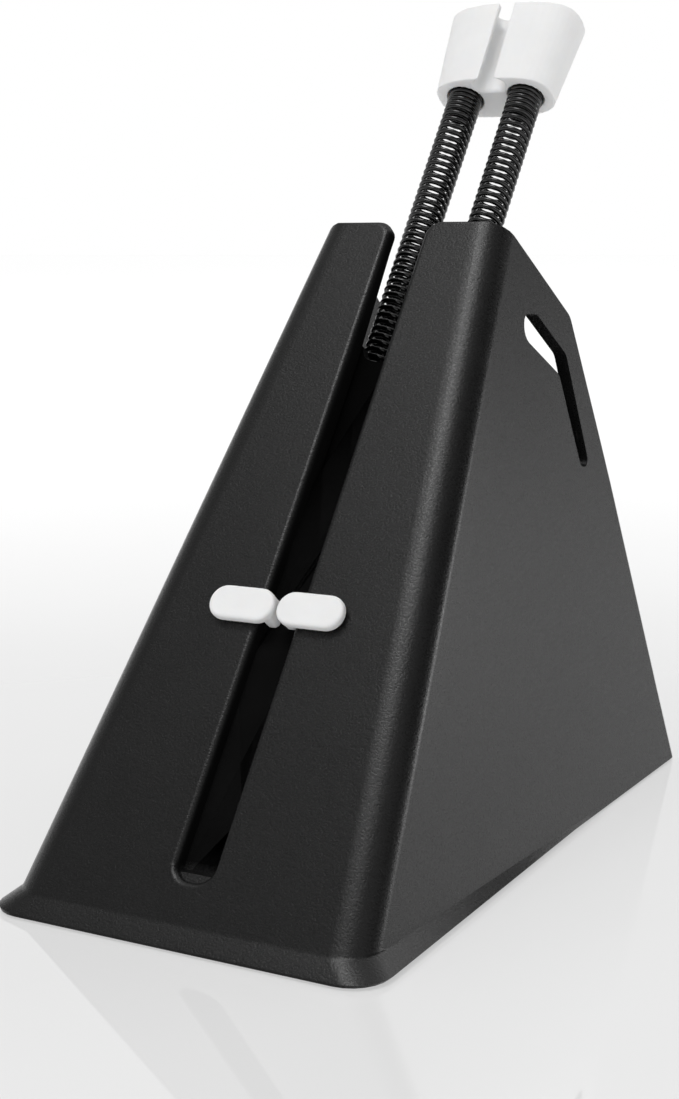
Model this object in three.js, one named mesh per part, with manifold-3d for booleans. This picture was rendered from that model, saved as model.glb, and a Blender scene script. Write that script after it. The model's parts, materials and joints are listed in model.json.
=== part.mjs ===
// A desktop cable holder for a computer mouse: a hollow, leaning pyramid with a slot in its
// sloping front, two coil springs that stand out of the top and carry a slotted cable clip,
// and a carriage that slides the springs up and down behind the slot.
//
// Millimetres. +X is to the right, the slotted face looks towards -Y, +Z is up. The origin is
// the middle of the footprint, on the surface that the holder stands on.
//
// Pieces that follow the sloping front are built in slope coordinates:
//   x across, u up along the slope from the floor, d depth behind the front face.

import * as THREE from 'three';
import { mergeVertices } from 'three/addons/utils/BufferGeometryUtils.js';
import Module from 'manifold-3d';

const wasm = await Module();
wasm.setup();

// ---------------------------------------------------------------- driving dimensions
const GAP = 0.3;                       // air between neighbouring pieces
const FRONT_LEAN = THREE.MathUtils.degToRad(37);
const SIDE_LEAN = THREE.MathUtils.degToRad(8);
const REAR_LEAN = THREE.MathUtils.degToRad(16.5);
const HALF_WIDTH = 30;                 // side walls at floor level, without the skirt
const FRONT_Y = -58.7;                 // front wall at floor level
const REAR_Y = 60.3;                   // rear wall at floor level
const SKIRT_Z = 0.4;                   // lower rim of the housing
const RIM_Z = 3.4;                     // the rear wall is part of the shell below this
const TOP_U = 122;                     // the top is square to the slope here
const TOP_DEPTH = 27.1;                // from the front edge of the top to its rear edge
const WALL = 2.2;
const FRONT_CORNER = 5.4;
const REAR_CORNER = 2.4;
// The skirt spreads outwards below a soft crease and turns in again at its rim. On the side
// walls it runs out into the wall at endY.
const FLARE = { side: 2.5, front: 0.6, height: 2.9, crease: 0.4, rim: 0.4, endY: 30 };

const SLOT = { halfWidth: 3.1, bottomU: 10.3, fillet: 1, topCorner: 2.5 };
const CHANNEL = { depth: 3.6, thickness: 1.8, halfWidth: 13, lowU: 17, highU: 97.5, slit: 0.95 };
const TROUGH = { floorZ: 8.5, backY: -38, wall: 1.5, highU: 20.7 };

const SPRING = { x: 5.7, depth: 13.3, radius: 3, bore: 2.2, lowU: 86, highU: 166.5 };
const CORE = { radius: 1.9, bore: 1.2, lowU: 48.3, highU: 100 };
const COLLAR_LOW_U = 81.5;
const PLUG_LOW_U = 157.9;
const ROD = { x: 13.5, radius: 1.5, lowU: 17.3, highU: 91 };
const BLOCK = { halfWidth: 16.5, lowU: 46, highU: 58, near: 8.5, far: 17.5 };
const PAD = { u: 52, inner: 0.3, outer: 11.4, height: 5.4, proud: 1.9 };
const CLIP = { lowU: 157.4, highU: 173.4, mouth: 2.8 };
const CLIP_BORE = { halfWidth: 2.9, near: 8.5, far: 11.6, corner: 1.5, lowEdge: 0.35 };

const DETAIL = 6;                      // steps in a small arc
const ROUND = 20;                      // sides of a round piece

// ---------------------------------------------------------------- materials
const material = (color, roughness, metalness = 0) =>
  new THREE.MeshStandardMaterial({ color, roughness, metalness });
const BLACK_PLASTIC = () => material(0x2b2b2d, 0.55);
const INNER_PLASTIC = () => material(0x18181a, 0.6);
const WHITE_RUBBER = () => material(0xe9e9ea, 0.6);
const SPRING_STEEL = () => material(0x1c1c1d, 0.4, 0.7);
const BRIGHT_STEEL = () => material(0xb8babd, 0.3, 1);
const ZINC_STEEL = () => material(0x8d9094, 0.45, 1);
const BLACK_RUBBER = () => material(0x141414, 0.85);
const NYLON = () => material(0xd8d2c0, 0.5);
const BRASS = () => material(0xb08d48, 0.35, 1);

// ---------------------------------------------------------------- solids and booleans
function solid(geometry) {
  const bare = geometry.clone();
  bare.deleteAttribute('normal');
  bare.deleteAttribute('uv');
  const welded = mergeVertices(bare, 1e-5);
  const mesh = new wasm.Mesh({
    numProp: 3,
    vertProperties: new Float32Array(welded.getAttribute('position').array),
    triVerts: new Uint32Array(welded.getIndex().array),
  });
  return new wasm.Manifold(mesh);
}

function geometryOf(manifold) {
  const mesh = manifold.getMesh();
  const geometry = new THREE.BufferGeometry();
  geometry.setAttribute('position', new THREE.BufferAttribute(mesh.vertProperties, 3));
  geometry.setIndex(new THREE.BufferAttribute(mesh.triVerts, 1));
  return geometry;
}

const join = (first, ...rest) => rest.reduce((sum, piece) => sum.add(solid(piece)), solid(first));
const cut = (body, ...tools) => tools.reduce((left, tool) => left.subtract(solid(tool)), body);

// ---------------------------------------------------------------- outlines
// Corners are [x, y, radius]; each one becomes an arc of its own radius.
function outline(corners, steps = DETAIL) {
  const points = [];
  corners.forEach(([x, y, radius = 0], i) => {
    const corner = new THREE.Vector2(x, y);
    if (radius === 0) {
      points.push(corner);
      return;
    }
    const [bx, by] = corners.at(i - 1);
    const [ax, ay] = corners[(i + 1) % corners.length];
    const back = new THREE.Vector2(bx, by).sub(corner).normalize();
    const ahead = new THREE.Vector2(ax, ay).sub(corner).normalize();
    const half = Math.acos(THREE.MathUtils.clamp(back.dot(ahead), -1, 1)) / 2;
    const start = corner.clone().addScaledVector(back, radius / Math.tan(half));
    const end = corner.clone().addScaledVector(ahead, radius / Math.tan(half));
    const middle = back.clone().add(ahead).normalize();
    const centre = corner.clone().addScaledVector(middle, radius / Math.sin(half));
    const from = start.clone().sub(centre).angle();
    let sweep = end.clone().sub(centre).angle() - from;
    sweep -= 2 * Math.PI * Math.round(sweep / (2 * Math.PI));
    for (let k = 0; k <= steps; k += 1) {
      const angle = from + (sweep * k) / steps;
      points.push(new THREE.Vector2(Math.cos(angle), Math.sin(angle)).multiplyScalar(radius).add(centre));
    }
  });
  const apart = (point, i) => point.distanceTo(points.at(i - 1)) > 1e-3;
  return points.filter(apart);
}

const rectangle = (x0, x1, y0, y1, radius = 0) =>
  outline([[x0, y0, radius], [x1, y0, radius], [x1, y1, radius], [x0, y1, radius]]);

function circle(x, y, radius, sides = ROUND) {
  return Array.from({ length: sides }, (_, k) => {
    const angle = (2 * Math.PI * k) / sides;
    return new THREE.Vector2(x + radius * Math.cos(angle), y + radius * Math.sin(angle));
  });
}

// ---------------------------------------------------------------- prisms
function prism(points, low, high) {
  const shape = new THREE.Shape(points);
  const geometry = new THREE.ExtrudeGeometry(shape, { depth: high - low, bevelEnabled: false });
  return geometry.translate(0, 0, low);
}

// A closed solid through several level outlines, each given as [height, points]. All outlines
// have the same number of points, in the same order.
function loft(levels) {
  const steps = levels.length - 1;
  const first = levels[0][1];
  const shape = new THREE.Shape(first);
  const geometry = new THREE.ExtrudeGeometry(shape, { depth: steps, steps, bevelEnabled: false });
  const position = geometry.getAttribute('position');
  for (let i = 0; i < position.count; i += 1) {
    const here = new THREE.Vector2(position.getX(i), position.getY(i));
    const distances = first.map((point) => point.distanceToSquared(here));
    const k = distances.indexOf(Math.min(...distances));
    const [height, points] = levels[Math.round(position.getZ(i))];
    position.setXYZ(i, points[k].x, points[k].y, height);
  }
  return geometry;
}

const taper = (lowPoints, highPoints, low, high) => loft([[low, lowPoints], [high, highPoints]]);

const box = (x0, x1, y0, y1, z0, z1) => prism(rectangle(x0, x1, y0, y1), z0, z1);

// An outline drawn in (y, z), extruded along X.
const ACROSS = new THREE.Matrix4().makeBasis(
  new THREE.Vector3(0, 1, 0),
  new THREE.Vector3(0, 0, 1),
  new THREE.Vector3(1, 0, 0),
);
const sidePrism = (points, x0, x1) => prism(points, x0, x1).applyMatrix4(ACROSS);

// Slope pieces, in local axes (x, u, -d).
const alongSlope = (points, u0, u1) => prism(points, u0, u1).rotateX(-Math.PI / 2);
const throughFace = (points, d0, d1) => prism(points, -d1, -d0);
const slopeBox = (x0, x1, u0, u1, d0, d1) => box(x0, x1, u0, u1, -d1, -d0);
const slopeRod = (x, d, radius, u0, u1) => alongSlope(circle(x, d, radius), u0, u1);

const SLOPE = new THREE.Matrix4()
  .makeTranslation(0, FRONT_Y, 0)
  .multiply(new THREE.Matrix4().makeRotationX(Math.PI / 2 - FRONT_LEAN));
const onSlope = (geometry) => geometry.applyMatrix4(SLOPE);
const slopePoint = (u, d) => {
  const point = new THREE.Vector3(0, u, -d).applyMatrix4(SLOPE);
  return [point.y, point.z];
};

// ---------------------------------------------------------------- housing
// The level outline of the housing at one height. Inset is measured square to each wall.
// With a flare, 0 to 1, the side lines bend where the skirt meets the wall.
function wallOutline(z, { inset = 0, flare, rearOpen = 0 } = {}) {
  const halfWidth = HALF_WIDTH - z * Math.tan(SIDE_LEAN) - inset / Math.cos(SIDE_LEAN);
  const front = FRONT_Y + z * Math.tan(FRONT_LEAN) + inset / Math.cos(FRONT_LEAN);
  const rear = REAR_Y - z * Math.tan(REAR_LEAN) + rearOpen;
  const frontRadius = FRONT_CORNER - inset;
  const rearRadius = inset > 0 ? 0 : REAR_CORNER;
  const rearCorners = [[halfWidth, rear, rearRadius], [-halfWidth, rear, rearRadius]];
  if (flare === undefined) {
    return outline([[halfWidth, front, frontRadius], ...rearCorners, [-halfWidth, front, frontRadius]]);
  }
  const x = halfWidth + flare * FLARE.side;
  const y = front - flare * FLARE.front;
  const bendY = front + Math.max(frontRadius + 1.6, (FLARE.endY - front) * flare);
  return outline([
    [x, y, frontRadius],
    [halfWidth, bendY],
    ...rearCorners,
    [-halfWidth, bendY],
    [-x, y, frontRadius],
  ]);
}

function outerBody() {
  const above = 112;
  const { height, crease, rim } = FLARE;
  const skirt = [[0, 0.8], [rim, 1], [height - crease, 0.055], [height, 0]].map(([rise, flare]) => {
    const z = SKIRT_Z + rise;
    return [z, wallOutline(z, { flare })];
  });
  const walls = loft([...skirt, [above, wallOutline(above, { flare: 0 })]]);
  const clear = 4;
  const [rearTopY, rearTopZ] = slopePoint(TOP_U, TOP_DEPTH);
  const profile = sidePrism(
    outline([
      [FRONT_Y - clear, -1],
      [REAR_Y + clear, -1],
      [REAR_Y + clear, height],
      [rearTopY + (rearTopZ - height) * Math.tan(REAR_LEAN), height],
      [rearTopY, rearTopZ, 3],
      slopePoint(TOP_U, -clear),
      slopePoint(0, -clear),
    ]),
    -40,
    40,
  );
  return solid(walls).intersect(solid(profile));
}

// The slot's outline, wider by the fillet as it nears the front face.
function slotOutline(grow) {
  const half = SLOT.halfWidth + grow;
  const bottom = SLOT.bottomU - grow;
  const top = TOP_U + 0.1 - grow;
  const round = half * 0.85;
  return outline([
    [half, bottom, round],
    [half, top, SLOT.topCorner],
    [40, top],
    [40, TOP_U + 12],
    [-40, TOP_U + 12],
    [-40, top],
    [-half, top, SLOT.topCorner],
    [-half, bottom, round],
  ]);
}

function slotCutter() {
  const steps = 4;
  const radius = SLOT.fillet;
  const past = 0.03;
  const fillet = Array.from({ length: steps }, (_, k) => {
    const angle = (k * Math.PI) / 2 / steps;
    return [-radius * (1 - Math.sin(angle)), slotOutline(radius * (1 - Math.cos(angle)))];
  });
  const mouth = slotOutline(radius + 4 * past);
  return onSlope(loft([[-CHANNEL.depth, slotOutline(0)], ...fillet, [past, mouth], [1, mouth]]));
}

// The bent window in each side wall: a wide arm runs beside the top and narrows into one that
// runs down beside the rear edge.
function windowOutline() {
  const rearLine = (z, inset) => REAR_Y - z * Math.tan(REAR_LEAN) - inset / Math.cos(REAR_LEAN);
  const lowZ = 55.9;
  return outline([
    [...slopePoint(112.4, 11.8), 2.2],
    [...slopePoint(114.9, 15.4), 3.5],
    [...slopePoint(115, 27.9), 2],
    [rearLine(lowZ, 6.7), lowZ, 1.4],
    [rearLine(lowZ + 0.5, 10), lowZ + 0.5, 1.4],
    [...slopePoint(110.3, 26.6), 2],
    [...slopePoint(108.7, 13.1), 2.4],
  ], 4);
}

// Behind the front wall a rib on each side deepens the slot. At the slot's lower end the ribs
// reach further back, and a level floor joins them.
function slotRibs() {
  const deep = CHANNEL.depth - GAP;
  const inWall = WALL - 0.7;
  const lowZ = TROUGH.floorZ - 1.8;
  const run = (TROUGH.backY - slopePoint(TROUGH.highU, 0)[0]) / Math.cos(FRONT_LEAN);
  const frontAt = (z) => FRONT_Y + z * Math.tan(FRONT_LEAN) + inWall / Math.cos(FRONT_LEAN);
  const rib = outline([
    slopePoint(TOP_U - 5, inWall),
    slopePoint(TOP_U - 5, WALL),
    slopePoint(CHANNEL.highU, deep),
    slopePoint(TROUGH.highU, deep),
    slopePoint(TROUGH.highU, run),
    [TROUGH.backY, lowZ],
    [frontAt(lowZ), lowZ],
  ]);
  const floor = outline([
    [frontAt(lowZ) - 0.2, lowZ + 0.3],
    [TROUGH.backY - 0.3, lowZ + 0.3],
    [TROUGH.backY - 0.3, TROUGH.floorZ],
    [frontAt(TROUGH.floorZ) - 0.2, TROUGH.floorZ],
  ]);
  const inner = SLOT.halfWidth;
  const outer = inner + TROUGH.wall;
  return [
    sidePrism(rib, inner, outer),
    sidePrism(rib, -outer, -inner),
    sidePrism(floor, -inner - 0.6, inner + 0.6),
  ];
}

// Screw bosses: floor screws near the four corners, channel screws on the front wall.
const FLOOR_SCREWS = [[22, -43], [-22, -43], [22, 46], [-22, 46]];
const FLOOR_BOSS = { radius: 3.2, hole: 1.3, lowZ: 3.5, highZ: 12, web: 0.8 };
const CHANNEL_SCREWS = [[10, 30], [-10, 30], [10, 84], [-10, 84]];
const REAR_SCREWS = [14, 56];

function floorBoss([x, y]) {
  const side = Math.sign(x);
  const { radius, lowZ, highZ, web } = FLOOR_BOSS;
  const reach = [Math.abs(x), HALF_WIDTH - WALL + 0.1].map((value) => value * side).sort((a, b) => a - b);
  return [
    prism(circle(x, y, radius), lowZ, highZ),
    box(...reach, y - web, y + web, lowZ + 0.7, highZ - 0.5),
  ];
}

// Ledges inside the side walls, which the rear cover is screwed to.
const LEDGE = { lowZ: 9, highZ: 62, width: 7.1, depth: 4 };

function rearLedge(side) {
  const { lowZ, highZ, width, depth } = LEDGE;
  const at = (z) => {
    const rear = REAR_Y - z * Math.tan(REAR_LEAN) - (WALL + GAP) / Math.cos(REAR_LEAN);
    const wall = HALF_WIDTH - z * Math.tan(SIDE_LEAN) - WALL / 2;
    const [x0, x1] = [wall * side, (wall - width) * side].sort((first, second) => first - second);
    return rectangle(x0, x1, rear - depth, rear);
  };
  return taper(at(lowZ), at(highZ), lowZ, highZ);
}

function rearScrewAxis(z, side) {
  const x = side * (HALF_WIDTH - z * Math.tan(SIDE_LEAN) - 5.4);
  return new THREE.Matrix4()
    .makeTranslation(x, REAR_Y - z * Math.tan(REAR_LEAN), z)
    .multiply(new THREE.Matrix4().makeRotationX(-(Math.PI / 2 - REAR_LEAN)));
}

const rearScrewAxes = () => [-1, 1].flatMap((side) => REAR_SCREWS.map((z) => rearScrewAxis(z, side)));

function housingShell() {
  const outer = outerBody();
  const above = 114;
  const open = { inset: WALL, rearOpen: 6 };
  const closed = { inset: WALL, rearOpen: -WALL / Math.cos(REAR_LEAN) };
  const hollow = loft([
    [-1, wallOutline(-1, closed)],
    [RIM_Z, wallOutline(RIM_Z, closed)],
    [RIM_Z + 0.2, wallOutline(RIM_Z + 0.2, open)],
    [above, wallOutline(above, open)],
  ]);
  const shell = cut(
    outer,
    hollow,
    slotCutter(),
    sidePrism(windowOutline(), -40, 40),
    ...CHANNEL_SCREWS.map(([x, u]) => onSlope(throughFace(circle(x, u, 0.9, 10), 1.2, 4))),
  );
  const inside = [
    ...slotRibs(),
    ...FLOOR_SCREWS.flatMap(floorBoss),
    rearLedge(-1),
    rearLedge(1),
  ];
  return geometryOf(cut(
    inside.reduce((sum, piece) => sum.add(solid(piece)), shell),
    ...FLOOR_SCREWS.map(([x, y]) => prism(circle(x, y, FLOOR_BOSS.hole, 12), 0, 11)),
    ...rearScrewAxes().map((axis) => prism(circle(0, 0, 1.3, 12), -7, 1).applyMatrix4(axis)),
  ));
}

// ---------------------------------------------------------------- closing panels
const REAR_COVER = { lowZ: RIM_Z + 0.2 + GAP, highZ: 67 };

function rearCover() {
  const at = (z) => {
    const rear = REAR_Y - z * Math.tan(REAR_LEAN);
    const x = HALF_WIDTH - z * Math.tan(SIDE_LEAN) - WALL / Math.cos(SIDE_LEAN) - GAP;
    return rectangle(-x, x, rear - WALL / Math.cos(REAR_LEAN), rear);
  };
  const { lowZ, highZ } = REAR_COVER;
  return geometryOf(cut(
    solid(taper(at(lowZ), at(highZ), lowZ, highZ)),
    ...rearScrewAxes().map((axis) => prism(circle(0, 0, 1.5, 12), -4, 1).applyMatrix4(axis)),
    ...rearScrewAxes().map((axis) => prism(circle(0, 0, 3, 16), -1.2, 1).applyMatrix4(axis)),
  ));
}

const FLOOR = { lowZ: 1, highZ: 3.2 };
const MAT = { halfWidth: 20, halfLength: 38, corner: 6 };
const HEAD = { radius: 2.6, height: 1.3 };

function floorPlate() {
  const { lowZ, highZ } = FLOOR;
  const x = HALF_WIDTH - highZ * Math.tan(SIDE_LEAN) - WALL / Math.cos(SIDE_LEAN) - GAP;
  const front = FRONT_Y + highZ * Math.tan(FRONT_LEAN) + WALL / Math.cos(FRONT_LEAN) + GAP;
  const rear = REAR_Y - highZ * Math.tan(REAR_LEAN) - WALL / Math.cos(REAR_LEAN) - GAP;
  const corner = FRONT_CORNER - WALL;
  const points = outline([[x, front, corner], [x, rear, 0.6], [-x, rear, 0.6], [-x, front, corner]]);
  return geometryOf(cut(
    solid(prism(points, lowZ, highZ)),
    ...FLOOR_SCREWS.map(([sx, sy]) => prism(circle(sx, sy, 1.6, 12), 0, 4)),
    ...FLOOR_SCREWS.map(([sx, sy]) => prism(circle(sx, sy, HEAD.radius + GAP, 16), 0, lowZ + HEAD.height)),
  ));
}

// A pan-head screw along its own axis: the head starts at 0 and the shank points to +Z.
function screw(shankRadius, length, head = HEAD) {
  const profile = [
    new THREE.Vector2(0, 0),
    new THREE.Vector2(head.radius, 0),
    new THREE.Vector2(head.radius, head.height),
    new THREE.Vector2(shankRadius, head.height),
    new THREE.Vector2(shankRadius, length - 0.6),
    new THREE.Vector2(0, length),
  ];
  return geometryOf(solid(new THREE.LatheGeometry(profile, 12).rotateX(Math.PI / 2)));
}

// ---------------------------------------------------------------- slider guide
// A plate behind the slot. It closes the cable groove, its top has a round notch where the
// cable leaves, and a narrow slit lets the pads' stem through to the carriage.
function channelPlate() {
  const { depth, thickness, halfWidth, lowU, highU, slit } = CHANNEL;
  const notch = SLOT.halfWidth;
  const lowHalf = 4.9;
  const points = outline([
    [halfWidth, lowU, 1],
    [halfWidth, highU + 3, 1.5],
    [notch, highU + 3, 0.8],
    [notch, highU, notch * 0.85],
    [-notch, highU, notch * 0.85],
    [-notch, highU + 3, 0.8],
    [-halfWidth, highU + 3, 1.5],
    [-halfWidth, lowU, 1],
    [-lowHalf, lowU],
    [-lowHalf, TROUGH.highU + GAP],
    [lowHalf, TROUGH.highU + GAP],
    [lowHalf, lowU],
  ], 4);
  return geometryOf(cut(
    solid(throughFace(points, depth, depth + thickness)),
    throughFace(rectangle(-slit, slit, 24, 80, slit * 0.8), 3, 6),
    ...CHANNEL_SCREWS.map(([x, u]) => throughFace(circle(x, u, 1.2, 12), 3, 6)),
  ));
}

const GUIDE_BACK = CHANNEL.depth + CHANNEL.thickness + GAP;

function lowerRodHolder(side) {
  const x0 = Math.min(side * 10.3, side * 16.3);
  const x1 = Math.max(side * 10.3, side * 16.3);
  const bore = slopeRod(side * ROD.x, SPRING.depth, ROD.radius + GAP, ROD.lowU - GAP, 21);
  return geometryOf(cut(solid(slopeBox(x0, x1, 16.9, 19.9, GUIDE_BACK, 15.6)), bore));
}

function upperBracket() {
  const plate = slopeBox(-16.3, 16.3, 88, 91.4, GUIDE_BACK, 17.2);
  const bores = [-1, 1].flatMap((side) => [
    slopeRod(side * ROD.x, SPRING.depth, ROD.radius + GAP, 87, ROD.highU + GAP),
    slopeRod(side * SPRING.x, SPRING.depth, SPRING.radius + 0.55, 87, 93),
  ]);
  return geometryOf(cut(solid(plate), ...bores));
}

// ---------------------------------------------------------------- carriage
const CLAMP = { halfWidth: 12, lowU: 48, highU: 56, thickness: 1.5 };
const CLAMP_SCREW = { x: 9.6, head: { radius: 1.9, height: 1.1 } };
const SHOE = { inner: 3.2, outer: 7.9, lowU: 48, highU: 56 };

function carriageBlock() {
  const { halfWidth, lowU, highU, near, far } = BLOCK;
  const body = alongSlope(rectangle(-halfWidth, halfWidth, near, far, 1.2), lowU, highU);
  const bores = [-1, 1].flatMap((side) => [
    slopeRod(side * ROD.x, SPRING.depth, ROD.radius + GAP, lowU - 1, highU + 1),
    slopeRod(side * SPRING.x, SPRING.depth, CORE.radius + GAP, CORE.lowU - GAP, highU + 1),
    throughFace(circle(side * CLAMP_SCREW.x, PAD.u, 1.3, 10), far - 4, far + 1),
  ]);
  return geometryOf(cut(solid(body), ...bores));
}

function clampPlate() {
  const near = BLOCK.far + GAP;
  const points = rectangle(-CLAMP.halfWidth, CLAMP.halfWidth, CLAMP.lowU, CLAMP.highU, 1.5);
  return geometryOf(cut(
    solid(throughFace(points, near, near + CLAMP.thickness)),
    ...[-1, 1].map((side) => throughFace(circle(side * CLAMP_SCREW.x, PAD.u, 1.6, 12), near - 1, near + 3)),
  ));
}

// Two small pads between the block and the channel plate hold the carriage where it is set.
function frictionShoe(side) {
  const x0 = Math.min(side * SHOE.inner, side * SHOE.outer);
  const x1 = Math.max(side * SHOE.inner, side * SHOE.outer);
  return slopeBox(x0, x1, SHOE.lowU, SHOE.highU, GUIDE_BACK, BLOCK.near - GAP);
}

// A bar in the groove behind the grip pads, on a thin stem that passes through the slit.
function padYoke() {
  const bar = throughFace(rectangle(-2.7, 2.7, PAD.u - 3.5, PAD.u + 3.5, 0.8), 2.5, 3.3);
  const stem = throughFace(rectangle(-0.6, 0.6, PAD.u - 3, PAD.u + 3, 0.5), 3.2, BLOCK.near - GAP);
  return geometryOf(join(bar, stem));
}

// A soft grip pad on the front face with a neck that reaches into the slot.
function gripPad(side) {
  const radius = PAD.height / 2;
  const bevel = 0.45;
  const x0 = side * PAD.inner;
  const x1 = side * PAD.outer;
  const low = Math.min(x0, x1) + bevel;
  const high = Math.max(x0, x1) - bevel;
  const reach = radius - bevel;
  const shrunk = rectangle(low, high, PAD.u - reach, PAD.u + reach, reach * 0.97);
  const slab = new THREE.ExtrudeGeometry(new THREE.Shape(shrunk), {
    depth: PAD.proud - GAP - 2 * bevel,
    bevelSize: bevel,
    bevelThickness: bevel,
    bevelSegments: 2,
  }).translate(0, 0, GAP + bevel);
  const neckInner = side * 0.5;
  const neckOuter = side * 2.8;
  const neckReach = 1.9;
  const neck = rectangle(
    Math.min(neckInner, neckOuter),
    Math.max(neckInner, neckOuter),
    PAD.u - neckReach,
    PAD.u + neckReach,
    0.9,
  );
  return geometryOf(join(slab, throughFace(neck, -0.8, 2.2)));
}

// ---------------------------------------------------------------- springs and cable clip
function tube(x, outer, inner, u0, u1) {
  return geometryOf(cut(
    solid(slopeRod(x, SPRING.depth, outer, u0, u1)),
    slopeRod(x, SPRING.depth, inner, u0 - 1, u1 + 1),
  ));
}

// The clip's oval at its low and high ends: half its length across, half its thickness and the
// depth of its middle.
const CLIP_LOW = { across: 10.8, through: 5.2, depth: 13.3 };
const CLIP_HIGH = { across: 12.2, through: 6, depth: 13.3 };

function clipOval({ across, through, depth }) {
  const steps = 40;
  const power = 0.7;
  return Array.from({ length: steps }, (_, k) => {
    const angle = (2 * Math.PI * k) / steps;
    const x = across * Math.sign(Math.cos(angle)) * Math.abs(Math.cos(angle)) ** power;
    const y = through * Math.sign(Math.sin(angle)) * Math.abs(Math.sin(angle)) ** power;
    return new THREE.Vector2(x, depth + y);
  });
}

// The cable is pressed through the narrow mouth into a wider bore, which has a rounded low edge.
function cableClip() {
  const { lowU, highU, mouth } = CLIP;
  const { halfWidth, near, far, corner, lowEdge } = CLIP_BORE;
  const boreOutline = (grow) => (
    rectangle(-halfWidth - grow, halfWidth + grow, near - grow, far + grow, corner + grow)
  );
  const body = taper(clipOval(CLIP_LOW), clipOval(CLIP_HIGH), lowU, highU).rotateX(-Math.PI / 2);
  const bore = loft([
    [lowU - 0.2, boreOutline(lowEdge)],
    [lowU + 0.7, boreOutline(0)],
    [highU + 1, boreOutline(0)],
  ]);
  const sockets = [-1, 1].map((side) => (
    slopeRod(side * SPRING.x, SPRING.depth, SPRING.radius + GAP, lowU - 1, SPRING.highU + GAP)
  ));
  return geometryOf(cut(
    solid(body),
    alongSlope(rectangle(-mouth / 2, mouth / 2, 0, far - corner), lowU - 1, highU + 1),
    bore.rotateX(-Math.PI / 2),
    ...sockets,
  ));
}

// ---------------------------------------------------------------- assembly
const bungee = new THREE.Group();
const slope = new THREE.Group();
slope.applyMatrix4(SLOPE);
bungee.add(slope);

function place(parent, name, geometry, finish) {
  const mesh = new THREE.Mesh(geometry, finish);
  mesh.name = name;
  parent.add(mesh);
  return mesh;
}

place(bungee, 'housing_shell', housingShell(), BLACK_PLASTIC());
place(bungee, 'rear_cover', rearCover(), BLACK_PLASTIC());
place(bungee, 'floor_plate', floorPlate(), INNER_PLASTIC());

const CORNERS = ['front_right', 'front_left', 'rear_right', 'rear_left'];
CORNERS.forEach((corner, i) => {
  const [sx, sy] = FLOOR_SCREWS[i];
  const mesh = place(bungee, `floor_screw_${corner}`, screw(1, 9), ZINC_STEEL());
  mesh.position.set(sx, sy, FLOOR.lowZ - GAP);
});

const matOutline = rectangle(-MAT.halfWidth, MAT.halfWidth, -MAT.halfLength, MAT.halfLength, MAT.corner);
place(bungee, 'grip_mat', prism(matOutline, 0, FLOOR.lowZ - GAP), BLACK_RUBBER());

const BALLAST = { halfWidth: 17, frontY: -16, rearY: 38, highZ: 12.5 };
const ballastScrews = [BALLAST.frontY + 6, BALLAST.rearY - 6];
const { halfWidth: ballastX, frontY, rearY } = BALLAST;
const ballast = cut(
  solid(box(-ballastX, ballastX, frontY, rearY, FLOOR.highZ + GAP, BALLAST.highZ)),
  ...ballastScrews.map((y) => prism(circle(0, y, 1.8, 12), 3, 20)),
);
place(bungee, 'ballast_block', geometryOf(ballast), ZINC_STEEL());
ballastScrews.forEach((y, i) => {
  const mesh = place(bungee, `ballast_screw_${i + 1}`, screw(1.4, 10), ZINC_STEEL());
  mesh.rotation.x = Math.PI;
  mesh.position.set(0, y, BALLAST.highZ + GAP + HEAD.height);
});

// Pieces that come in a right and a left one.
for (const [side, word] of [[1, 'right'], [-1, 'left']]) {
  REAR_SCREWS.forEach((z, i) => {
    const level = ['lower', 'upper'][i];
    const shape = screw(1, 6.4).rotateX(Math.PI).translate(0, 0, 0.4).applyMatrix4(rearScrewAxis(z, side));
    place(bungee, `rear_screw_${level}_${word}`, shape, ZINC_STEEL());
  });
  place(slope, `lower_rod_holder_${word}`, lowerRodHolder(side), INNER_PLASTIC());
  const rod = slopeRod(side * ROD.x, SPRING.depth, ROD.radius, ROD.lowU, ROD.highU);
  place(slope, `guide_rod_${word}`, rod, BRIGHT_STEEL());
  place(slope, `friction_shoe_${word}`, frictionShoe(side), NYLON());
  place(slope, `grip_pad_${word}`, gripPad(side), WHITE_RUBBER());

  const x = side * SPRING.x;
  place(slope, `spring_core_${word}`, tube(x, CORE.radius, CORE.bore, CORE.lowU, CORE.highU), SPRING_STEEL());
  const collar = tube(x, SPRING.radius, CORE.radius + GAP, COLLAR_LOW_U, SPRING.lowU - GAP);
  place(slope, `spring_collar_${word}`, collar, BRASS());
  const coil = tube(x, SPRING.radius, SPRING.bore, SPRING.lowU, SPRING.highU);
  place(slope, `coil_spring_${word}`, coil, SPRING_STEEL());
  const plug = slopeRod(x, SPRING.depth, CORE.radius, PLUG_LOW_U, SPRING.highU);
  place(slope, `spring_plug_${word}`, plug, NYLON());

  const { head } = CLAMP_SCREW;
  const clampScrew = place(slope, `clamp_screw_${word}`, screw(1, 5, head), ZINC_STEEL());
  const headBack = BLOCK.far + GAP + CLAMP.thickness + GAP + head.height;
  clampScrew.position.set(side * CLAMP_SCREW.x, PAD.u, -headBack);
}

const CHANNEL_HEAD = { radius: 1.8, height: 1 };
CHANNEL_SCREWS.forEach(([x, u], i) => {
  const mesh = place(slope, `channel_screw_${i + 1}`, screw(0.6, 5, CHANNEL_HEAD), ZINC_STEEL());
  mesh.position.set(x, u, -(CHANNEL.depth + CHANNEL.thickness + GAP + CHANNEL_HEAD.height));
});
place(slope, 'channel_plate', channelPlate(), INNER_PLASTIC());
place(slope, 'upper_rod_bracket', upperBracket(), INNER_PLASTIC());
place(slope, 'carriage_block', carriageBlock(), INNER_PLASTIC());
place(slope, 'clamp_plate', clampPlate(), ZINC_STEEL());
place(slope, 'pad_yoke', padYoke(), INNER_PLASTIC());
place(slope, 'cable_clip', cableClip(), WHITE_RUBBER());

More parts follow.
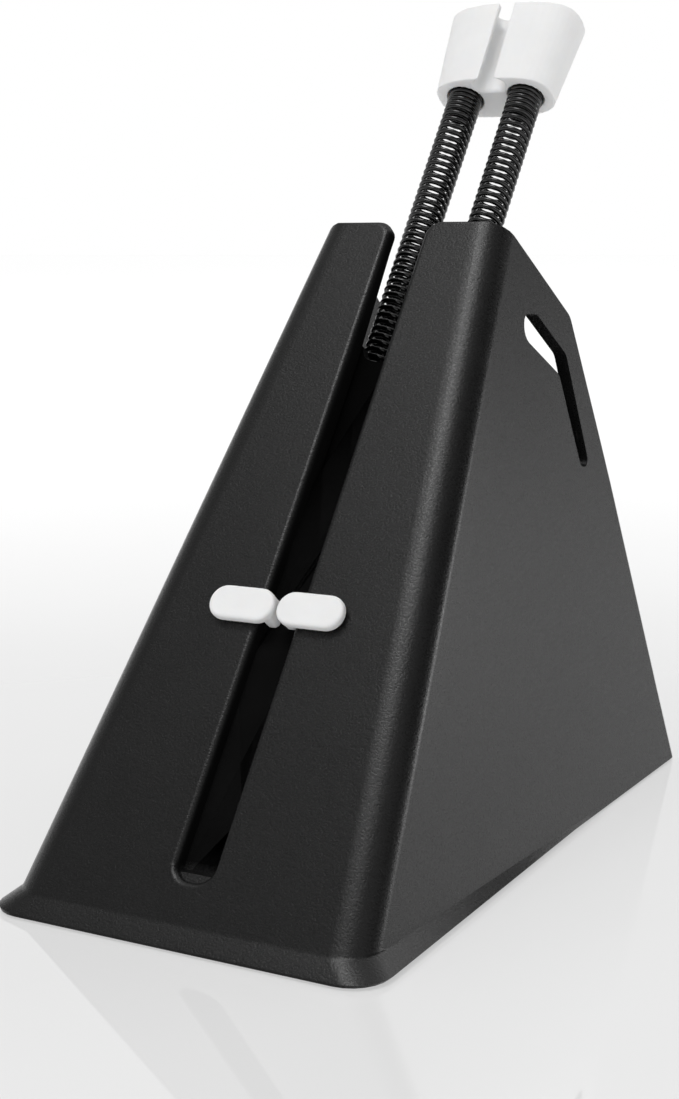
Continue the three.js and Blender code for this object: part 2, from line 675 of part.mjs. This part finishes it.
export default bungee;
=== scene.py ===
"""A desk stand that holds a mouse cable up: looks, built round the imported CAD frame.

Everything is in metres in the CAD's frame. MM turns the millimetres used below into metres.
"""

import json
import math

import bmesh
import bpy
from mathutils import Matrix, Vector


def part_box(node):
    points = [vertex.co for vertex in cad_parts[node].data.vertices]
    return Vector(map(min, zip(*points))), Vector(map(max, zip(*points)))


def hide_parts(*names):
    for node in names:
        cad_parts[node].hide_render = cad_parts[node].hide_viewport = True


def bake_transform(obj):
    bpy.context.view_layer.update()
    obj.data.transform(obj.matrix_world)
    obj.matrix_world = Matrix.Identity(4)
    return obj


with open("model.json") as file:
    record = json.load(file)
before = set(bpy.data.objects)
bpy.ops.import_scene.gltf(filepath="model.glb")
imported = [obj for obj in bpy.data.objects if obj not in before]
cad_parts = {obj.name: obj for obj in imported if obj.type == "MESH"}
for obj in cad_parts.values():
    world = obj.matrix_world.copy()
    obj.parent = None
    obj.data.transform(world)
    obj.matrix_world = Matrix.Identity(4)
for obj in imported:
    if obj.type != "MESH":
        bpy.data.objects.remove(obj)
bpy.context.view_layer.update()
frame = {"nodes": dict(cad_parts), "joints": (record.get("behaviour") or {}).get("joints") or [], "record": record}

MM = 0.001
WHITE = (1, 1, 1, 1)
NODES = frame["nodes"]
JOINTS = {joint["name"]: joint for joint in frame["joints"]}

# The slope's own axes, up along it and out of its face, and the two joints of the spring arm.
UP_SLOPE = Vector(JOINTS["arm_height"]["axis"]).normalized()
OUT = Vector(JOINTS["arm_sway"]["axis"]).normalized()
ACROSS = Vector((1, 0, 0))
NOD_POINT = Vector(JOINTS["arm_nod"]["pos_m"])
SWAY_POINT = Vector(JOINTS["arm_sway"]["pos_m"])


def on_arm(across, along):
    """A point by how far it lies across from the nod joint and up the slope from it."""
    return NOD_POINT + ACROSS * across + UP_SLOPE * along


def span(node):
    """Lowest and highest reach of a CAD node up the slope, measured from the nod joint."""
    reaches = [(vertex.co - NOD_POINT).dot(UP_SLOPE) for vertex in NODES[node].data.vertices]
    return min(reaches), max(reaches)


def direction(azimuth, elevation):
    """A unit vector: azimuth 0 is in front of the object and 90 on its right, in degrees."""
    a, e = math.radians(azimuth), math.radians(elevation)
    return (math.sin(a) * math.cos(e), -math.cos(a) * math.cos(e), math.sin(e))


# ------------------------------------------------------------------ shader helpers
class Tree:
    """A node tree, with the nodes that both the materials and the studio need."""

    def __init__(self, tree):
        self.tree = tree

    def add(self, kind, **settings):
        """A new shader node of a kind, with its settings."""
        node = self.tree.nodes.new(f"ShaderNode{kind}")
        for name, value in settings.items():
            setattr(node, name, value)
        return node

    def fill(self, socket, value):
        """Links another node's output to a socket, or sets a plain value on it."""
        if isinstance(value, bpy.types.NodeSocket):
            self.tree.links.new(value, socket)
        else:
            socket.default_value = value

    def maths(self, operation, *values):
        """One step of arithmetic on outputs of the tree or plain numbers."""
        node = self.add("Math", operation=operation)
        for socket, value in zip(node.inputs, values):
            self.fill(socket, value)
        return node.outputs["Value"]

    def axes(self, vector):
        """The outputs X, Y and Z of a vector."""
        node = self.add("SeparateXYZ")
        self.fill(node.inputs["Vector"], vector)
        return node.outputs

    def along(self, vector, axis):
        """How far a vector reaches along an axis of unit length."""
        node = self.add("VectorMath", operation="DOT_PRODUCT")
        self.fill(node.inputs[0], vector)
        self.fill(node.inputs[1], axis)
        return node.outputs["Value"]

    def fade(self, value, start, end, at_start=0, at_end=1, shape="LINEAR"):
        """Goes from at_start to at_end while the value goes from start to end."""
        node = self.add("MapRange", interpolation_type=shape)
        sockets = ("Value", "From Min", "From Max", "To Min", "To Max")
        for name, content in zip(sockets, (value, start, end, at_start, at_end)):
            self.fill(node.inputs[name], content)
        return node.outputs["Result"]


# Nearly all of a noise's values lie between these two.
NOISE_LOW, NOISE_HIGH = 0.3, 0.7

# How far a normal points sideways where a face starts to count as a side, and fully does.
SIDE_START, SIDE_FULL = 0.94, 0.985

# The front slot, in mm, for the mask that paints shade into it by taking its gloss away: half its width,
# the height of its lower end, where the front face lies along OUT, how deep the slot is, and how wide its mask
# fades at the sides and the ends.
SLOT_HALF_WIDTH, SLOT_LOW, SLOT_FACE, SLOT_DEPTH = 3.15, 8.5, 46.9, 22
SLOT_SIDE_FADE, SLOT_END_FADE = 0.4, 1


class Shader(Tree):
    """A node material with one Principled shader, patterned in the CAD's coordinates."""

    def __init__(self, name, roughness, metallic=0.0, specular=0.5):
        self.material = bpy.data.materials.new(name)
        self.material.use_nodes = True
        super().__init__(self.material.node_tree)
        self.base_roughness = roughness
        self.set("Roughness", roughness)
        self.set("Metallic", metallic)
        self.set("Specular IOR Level", specular)
        self.coordinates = self.add("TexCoord").outputs["Object"]

    def set(self, name, value):
        """Fills one of the Principled shader's own sockets."""
        self.fill(self.tree.nodes["Principled BSDF"].inputs[name], value)

    def noise(self, size_mm, detail, roughness=0.5, stretch=None):
        """Noise whose features are about size_mm across, squeezed along the axes by stretch."""
        coordinates = self.coordinates
        if stretch:
            mapping = self.add("Mapping")
            self.fill(mapping.inputs["Scale"], stretch)
            self.fill(mapping.inputs["Vector"], coordinates)
            coordinates = mapping.outputs["Vector"]
        node = self.add("TexNoise")
        self.fill(node.inputs["Scale"], 1 / (size_mm * MM))
        self.fill(node.inputs["Detail"], detail)
        self.fill(node.inputs["Roughness"], roughness)
        self.fill(node.inputs["Vector"], coordinates)
        return node.outputs["Fac"]

    def ramp(self, value, *stops):
        """A colour ramp over (position, colour) stops; a colour may be one number for grey."""
        node = self.add("ValToRGB")
        elements = node.color_ramp.elements
        for element, (position, colour) in zip(elements, stops, strict=True):
            element.position = position
            rgb = (colour,) * 3 if isinstance(colour, (int, float)) else colour
            element.color = (*rgb, 1)
        self.fill(node.inputs["Fac"], value)
        return node.outputs["Color"]

    def uneven_roughness(self, value, less, more):
        """Roughness that follows the value, from less below its base to more above it."""
        low, high = self.base_roughness - less, self.base_roughness + more
        self.set("Roughness", self.ramp(value, (NOISE_LOW, low), (NOISE_HIGH, high)))

    def bump(self, value, height_mm, strength=1):
        """Raises the surface by the value; strength may be another output of the tree."""
        node = self.add("Bump")
        self.fill(node.inputs["Distance"], height_mm * MM)
        self.fill(node.inputs["Strength"], strength)
        self.fill(node.inputs["Height"], value)
        self.set("Normal", node.outputs["Normal"])

    def on_sides(self, level):
        """1 on faces that look forwards, back or up, falling to level on the two steep sides."""
        normal = self.add("TexCoord").outputs["Normal"]
        sideways = self.maths("ABSOLUTE", self.axes(normal)["X"])
        return self.fade(sideways, SIDE_START, SIDE_FULL, 1, level)

    def step(self, length, zero_mm, one_mm):
        """0 where a length is at zero_mm, rising or falling to 1 at one_mm."""
        return self.fade(length, zero_mm * MM, one_mm * MM)

    def slot_shade_mask(self):
        """1 inside the front slot and 0 elsewhere: the mask of the painted shade that takes the slot's gloss away.
        """
        place = self.axes(self.coordinates)
        across = self.maths("ABSOLUTE", place["X"])
        outward = self.along(self.coordinates, OUT)
        end = SLOT_FACE - SLOT_DEPTH
        beside = self.step(across, SLOT_HALF_WIDTH + SLOT_SIDE_FADE, SLOT_HALF_WIDTH)
        above = self.step(place["Z"], SLOT_LOW, SLOT_LOW + SLOT_END_FADE)
        near = self.step(outward, end - SLOT_END_FADE, end)
        return self.maths("MULTIPLY", self.maths("MULTIPLY", beside, above), near)


# ------------------------------------------------------------------ materials
def moulded_plastic(name, tone, roughness, specular, grain_mm, height_mm, polished_and_slot_shaded=False):
    """Black plastic with a fine moulded grain, slightly uneven in tone and gloss.

    With the flag set the grain is faint on the steep sides, and the front slot has no gloss: painted shade that
    keeps its inside dark.
    """
    shader = Shader(name, roughness, specular=specular)
    cloud = shader.noise(9, detail=3)
    uneven = (NOISE_LOW, tone * 0.85), (NOISE_HIGH, tone * 1.15)
    shader.set("Base Color", shader.ramp(cloud, *uneven))
    grain = shader.noise(grain_mm, detail=3, roughness=0.65)
    shader.uneven_roughness(grain, 0.05, 0.07)
    shader.bump(grain, height_mm, shader.on_sides(0.12) if polished_and_slot_shaded else 1)
    # painted shade: the front slot's inside loses its gloss, so it stays dark
    if polished_and_slot_shaded:
        gloss_with_slot_shade = shader.ramp(shader.slot_shade_mask(), (0, specular), (1, 0))
        shader.set("Specular IOR Level", gloss_with_slot_shade)
    return shader.material


def soft_rubber(name, tone, roughness):
    """Smooth matt rubber with faint marks and a very fine surface; pale ones let light in."""
    shader = Shader(name, roughness, specular=0.4)
    cloud = shader.noise(5, detail=3)
    shader.set("Base Color", shader.ramp(cloud, (NOISE_LOW, tone * 0.97), (NOISE_HIGH, tone)))
    fine = shader.noise(0.35, detail=2)
    shader.uneven_roughness(fine, 0.05, 0.06)
    shader.bump(fine, 0.006)
    pale = tone > 0.5
    if pale:
        shader.set("Subsurface Weight", 0.25)
        shader.set("Subsurface Radius", (1.0, 0.9, 0.8))
        shader.set("Subsurface Scale", 1.2 * MM)
    return shader.material


def blackened_wire(name, tone, roughness):
    """Spring wire with a thin black finish: dark, glossy, with slight drawn marks."""
    shader = Shader(name, roughness, specular=0.55)
    worn = shader.noise(1.5, detail=4)
    shader.set("Base Color", shader.ramp(worn, (0.4, tone), (0.75, tone * 2.5)))
    marks = shader.noise(0.15, detail=2)
    shader.uneven_roughness(marks, 0.06, 0.08)
    shader.bump(marks, 0.004)
    return shader.material


def turned_metal(name, colour, roughness):
    """Metal with fine drawn or turned lines and a little tarnish."""
    shader = Shader(name, roughness, metallic=1.0)
    tarnish = shader.noise(3, detail=4)
    darker = tuple(c * 0.75 for c in colour)
    shader.set("Base Color", shader.ramp(tarnish, (0.35, darker), (0.65, colour)))
    lines = shader.noise(0.12, detail=2, stretch=(1, 1, 6))
    shader.uneven_roughness(lines, 0.08, 0.1)
    shader.bump(lines, 0.004)
    return shader.material


MATERIALS = {
    "grained_black_plastic": moulded_plastic(
        "grained_black",
        tone=0.006,
        roughness=0.28,
        specular=0.34,
        grain_mm=0.34,
        height_mm=0.055,
        polished_and_slot_shaded=True,
    ),
    "plain_black_plastic": moulded_plastic(
        "plain_black",
        tone=0.001,
        roughness=0.6,
        specular=0.02,
        grain_mm=0.6,
        height_mm=0.006,
    ),
    "white_rubber": soft_rubber("white_rubber", tone=0.9, roughness=0.6),
    "black_rubber": soft_rubber("black_rubber", tone=0.012, roughness=0.8),
    "black_spring_steel": blackened_wire("black_steel", tone=0.002, roughness=0.14),
    "bright_steel": turned_metal("bright_steel", (0.62, 0.62, 0.64), roughness=0.22),
    "zinc_steel": turned_metal("zinc_steel", (0.5, 0.51, 0.54), roughness=0.35),
    "brass": turned_metal("brass", (0.62, 0.44, 0.18), roughness=0.28),
    "nylon": soft_rubber("nylon", tone=0.6, roughness=0.45),
}


# ------------------------------------------------------------------ CAD nodes
# Corners closer than this are one, and faces that bend by less than this are one face.
WELD_MM, FLAT_DEGREES = 0.02, 0.8
# Edges that bend by more than this are rounded, in so many steps.
EDGE_DEGREES, EDGE_STEPS = 35, 3
# The moulded rubber pieces: the size of their remeshed faces in mm, and rounds of smoothing.
SOFT = {"cable_clip": (0.15, 6), "grip_pad_left": (0.12, 12), "grip_pad_right": (0.12, 12)}
# How wide the rounded edges of the other pieces are, in mm.
EDGES = {"housing_shell": 0.25, "rear_cover": 0.3}
OTHER_EDGES = 0.15


def dress_nodes():
    """Every CAD node gets its slot's material and smooth shading."""
    for part in frame["record"]["subparts"]:
        node = NODES[part["node"]]
        node.data.materials.clear()
        node.data.materials.append(MATERIALS[part["material_slot"]])
        for polygon in node.data.polygons:
            polygon.use_smooth = True


def round_edges(node, width_mm):
    """Joins the CAD's triangles into faces, then rounds the edges between them."""
    target = NODES[node]
    weld = target.modifiers.new("weld", "WELD")
    weld.merge_threshold = WELD_MM * MM
    faces = target.modifiers.new("faces", "DECIMATE")
    faces.decimate_type = "DISSOLVE"
    faces.angle_limit = math.radians(FLAT_DEGREES)
    bevel = target.modifiers.new("bevel", "BEVEL")
    bevel.width = width_mm * MM
    bevel.segments = EDGE_STEPS
    bevel.limit_method = "ANGLE"
    bevel.angle_limit = math.radians(EDGE_DEGREES)
    bevel.miter_outer = "MITER_ARC"
    normals = target.modifiers.new("normals", "WEIGHTED_NORMAL")
    normals.keep_sharp = True
    normals.weight = 60


def soften(node, voxel_mm, rounds):
    """Turns a hard-edged CAD solid into an evenly meshed one with soft, rounded edges."""
    target = NODES[node]
    remesh = target.modifiers.new("remesh", "REMESH")
    remesh.mode = "VOXEL"
    remesh.voxel_size = voxel_mm * MM
    remesh.use_smooth_shade = True
    smooth = target.modifiers.new("smooth", "SMOOTH")
    smooth.factor = 0.5
    smooth.iterations = rounds


dress_nodes()
for node_name in NODES:
    if node_name in SOFT:
        soften(node_name, *SOFT[node_name])
    else:
        round_edges(node_name, EDGES.get(node_name, OTHER_EDGES))


# ------------------------------------------------------------------ coil springs
WIRE = 0.84 * MM
WIRE_SIDES = 10
STEPS_PER_TURN = 22
OPEN_PITCH = 1.34 * MM
CLOSED_PITCH = 0.88 * MM
# How long the closed coils are at the lower end and below the clip's mouth.
CLOSED_LOW = 3 * WIRE
CLOSED_HIGH = 4 * CLOSED_PITCH
# The closed coils end this far below the clip's mouth.
MOUTH_GAP = 0.2 * MM
# Where a spring's two stretches meet, as a share of the way from the nod to the sway joint.
SPLIT = 0.45


def tube_along(name, points):
    """A closed tube of spring wire through the points, with flat caps."""
    work = bmesh.new()
    rings = []
    for i, point in enumerate(points):
        ahead = points[min(i + 1, len(points) - 1)] - points[max(i - 1, 0)]
        ahead.normalize()
        first = ahead.cross(UP_SLOPE).normalized()
        second = ahead.cross(first).normalized()
        ring = []
        for k in range(WIRE_SIDES):
            angle = 2 * math.pi * k / WIRE_SIDES
            offset = first * math.cos(angle) + second * math.sin(angle)
            ring.append(work.verts.new(point + offset * (WIRE / 2)))
        rings.append(ring)
    for low_ring, high_ring in zip(rings, rings[1:]):
        for k in range(WIRE_SIDES):
            after = (k + 1) % WIRE_SIDES
            work.faces.new((low_ring[k], low_ring[after], high_ring[after], high_ring[k]))
    work.faces.new(rings[0])
    work.faces.new(rings[-1])
    bmesh.ops.recalc_face_normals(work, faces=work.faces)
    for face in work.faces:
        face.smooth = len(face.verts) == 4
    mesh = bpy.data.meshes.new(name)
    work.to_mesh(mesh)
    work.free()
    mesh.materials.append(MATERIALS["black_spring_steel"])
    piece = bpy.data.objects.new(name, mesh)
    bpy.context.scene.collection.objects.link(piece)
    return piece


def coil_heights(low, mouth, high):
    """Height up the slope at each step: open coils, closed at the low end and near the mouth."""
    heights = [low + WIRE / 2]
    while heights[-1] < high - WIRE / 2:
        height = heights[-1]
        closed = height > mouth - CLOSED_HIGH or height < low + CLOSED_LOW
        pitch = CLOSED_PITCH if closed else OPEN_PITCH
        heights.append(min(height + pitch / STEPS_PER_TURN, high - WIRE / 2))
    return heights


def coil_spring(word):
    """One spring, as a lower and an upper stretch that meet between the two arm joints."""
    node = f"coil_spring_{word}"
    low, high = span(node)
    mouth, _ = span("cable_clip")
    centre = (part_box(node)[0].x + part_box(node)[1].x) / 2
    radius = (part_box(node)[1].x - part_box(node)[0].x) / 2 - WIRE / 2
    heights = coil_heights(low, mouth - MOUTH_GAP, high)
    points = []
    for step, height in enumerate(heights):
        angle = 2 * math.pi * step / STEPS_PER_TURN
        offset = ACROSS * math.cos(angle) + OUT * math.sin(angle)
        points.append(on_arm(centre, height) + offset * radius)
    split_height = (SWAY_POINT - NOD_POINT).dot(UP_SLOPE) * SPLIT
    split = next(i for i, height in enumerate(heights) if height > split_height)
    lower = tube_along(f"spring_lower_{word}", points[: split + 1])
    upper = tube_along(f"spring_upper_{word}", points[split:])
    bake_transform(lower)
    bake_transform(upper)
    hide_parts(node)


for word in ("right", "left"):
    coil_spring(word)


# ------------------------------------------------------------------ floor
FLOOR_SIZE = 6
FLOOR_ROUGHNESS = 0.03


def floor():
    """A pale floor that glows up to the background's white and shows a faint mirror image."""
    bpy.ops.mesh.primitive_plane_add(size=FLOOR_SIZE)
    ground = bpy.context.object
    ground.name = "floor"
    shader = Shader("floor", FLOOR_ROUGHNESS, specular=1.0)
    shader.set("Coat Weight", 1.0)
    shader.set("Coat IOR", 3.0)
    shader.set("Coat Roughness", FLOOR_ROUGHNESS)
    shader.set("Emission Color", WHITE)
    shader.set("Emission Strength", 0.66)
    cloud = shader.noise(60, detail=2)
    shader.set("Base Color", shader.ramp(cloud, (NOISE_LOW, 0.42), (NOISE_HIGH, 0.44)))
    ground.data.materials.append(shader.material)


floor()


# ------------------------------------------------------------------ light
# The studio's brightness by height, as (sine of the elevation, brightness).
GRADIENT = ((0, 0.9), (0.1, 0.85), (0.3, 0.36), (0.62, 0.28), (0.76, 0.55), (0.85, 0.85), (1, 0.95))

# Round patches on the studio's dome, in degrees and brightness: azimuth, elevation, the angle
# that each is full out to, the angle at which it is gone, and how much it adds or takes away.
SOFT_BOXES = (
    # the bright streak on the rounding right of the front face: its front half, its rear half
    (-24, 69, 9, 12, 6.0),
    (14, 71, 8, 11, 6.0),
    # a bright line on what looks straight to the right, such as the rounding's rear end
    (138, -1, 5, 9, 6.0),
    # light on what looks up and to the right
    (158, 34, 14, 22, 1.6),
    # light on upright corners that look to the front right
    (60, 15, 12, 30, 0.5),
    # the dark band behind the streak: its upper, middle and side part
    (76, 64, 13, 22, -0.5),
    (112, 28, 20, 36, -0.3),
    (140, 18, 8, 13, -0.3),
    # the right side, a little darker towards the rear
    (157, -4, 12, 40, -0.55),
)
DARKEST = 0.02


class Dome(Tree):
    """The studio: a dome whose brightness is a gradient by height plus the soft boxes."""

    def __init__(self):
        world = bpy.data.worlds.new("studio")
        bpy.context.scene.world = world
        world.use_nodes = True
        super().__init__(world.node_tree)
        self.direction = self.add("TexCoord").outputs["Generated"]
        self.brightness = self.curve(self.axes(self.direction)["Z"], GRADIENT)

    def curve(self, value, stops):
        """A smooth curve through (value, level) stops."""
        node = self.add("FloatCurve")
        top = max(level for _, level in stops)
        points = node.mapping.curves[0].points
        while len(points) < len(stops):
            points.new(0.5, 0.5)
        for point, (position, level) in zip(points, stops):
            point.location = (position, level / top)
        node.mapping.update()
        self.fill(node.inputs["Value"], value)
        return self.maths("MULTIPLY", node.outputs["Value"], top)

    def soft_box(self, azimuth, elevation, full, gone, level):
        """Adds a round patch, full out to one angle and gone at the other, in degrees."""
        near = self.along(self.direction, direction(azimuth, elevation))
        outer, inner = (math.cos(math.radians(angle)) for angle in (gone, full))
        patch = self.fade(near, outer, inner, 0, level, "SMOOTHSTEP")
        self.brightness = self.maths("ADD", self.brightness, patch)

    def finish(self):
        """Lights the scene with the dome, in front of which the camera sees plain white."""
        dome = self.tree.nodes["Background"]
        self.fill(dome.inputs["Strength"], self.maths("MAXIMUM", self.brightness, DARKEST))
        self.fill(dome.inputs["Color"], WHITE)
        white = self.add("Background")
        self.fill(white.inputs["Color"], WHITE)
        mix = self.add("MixShader")
        self.fill(mix.inputs["Fac"], self.add("LightPath").outputs["Is Camera Ray"])
        self.fill(mix.inputs[1], dome.outputs["Background"])
        self.fill(mix.inputs[2], white.outputs["Background"])
        self.fill(self.tree.nodes["World Output"].inputs["Surface"], mix.outputs["Shader"])


def studio():
    """The dome and its soft boxes, shown without a film's tone curve."""
    dome = Dome()
    for box in SOFT_BOXES:
        dome.soft_box(*box)
    dome.finish()
    bpy.context.scene.view_settings.view_transform = "Standard"


studio()


# ------------------------------------------------------------------ camera
CAMERA_AZIMUTH, CAMERA_ELEVATION, CAMERA_ROLL = 30.0056, 10.4043, -0.8963
CAMERA_PLACE = (0.143165, -0.257545, 0.100322)
LENS, SENSOR = 61.84, 36
NEAREST, FARTHEST = 0.01, 20


def camera():
    """The viewpoint: a little above the object and to its right, looking down at it."""
    roll = math.radians(CAMERA_ROLL)
    back = Vector(direction(CAMERA_AZIMUTH, CAMERA_ELEVATION))
    right = Vector((0, 0, 1)).cross(back).normalized()
    up = back.cross(right)
    turned_right = right * math.cos(roll) + up * math.sin(roll)
    turned_up = up * math.cos(roll) - right * math.sin(roll)
    data = bpy.data.cameras.new("camera")
    data.sensor_width = SENSOR
    data.lens = LENS
    data.clip_start, data.clip_end = NEAREST, FARTHEST
    seen_from = bpy.data.objects.new("camera", data)
    bpy.context.scene.collection.objects.link(seen_from)
    turn = Matrix((turned_right, turned_up, back)).transposed().to_4x4()
    seen_from.matrix_world = Matrix.Translation(CAMERA_PLACE) @ turn
    bpy.context.scene.camera = seen_from


camera()
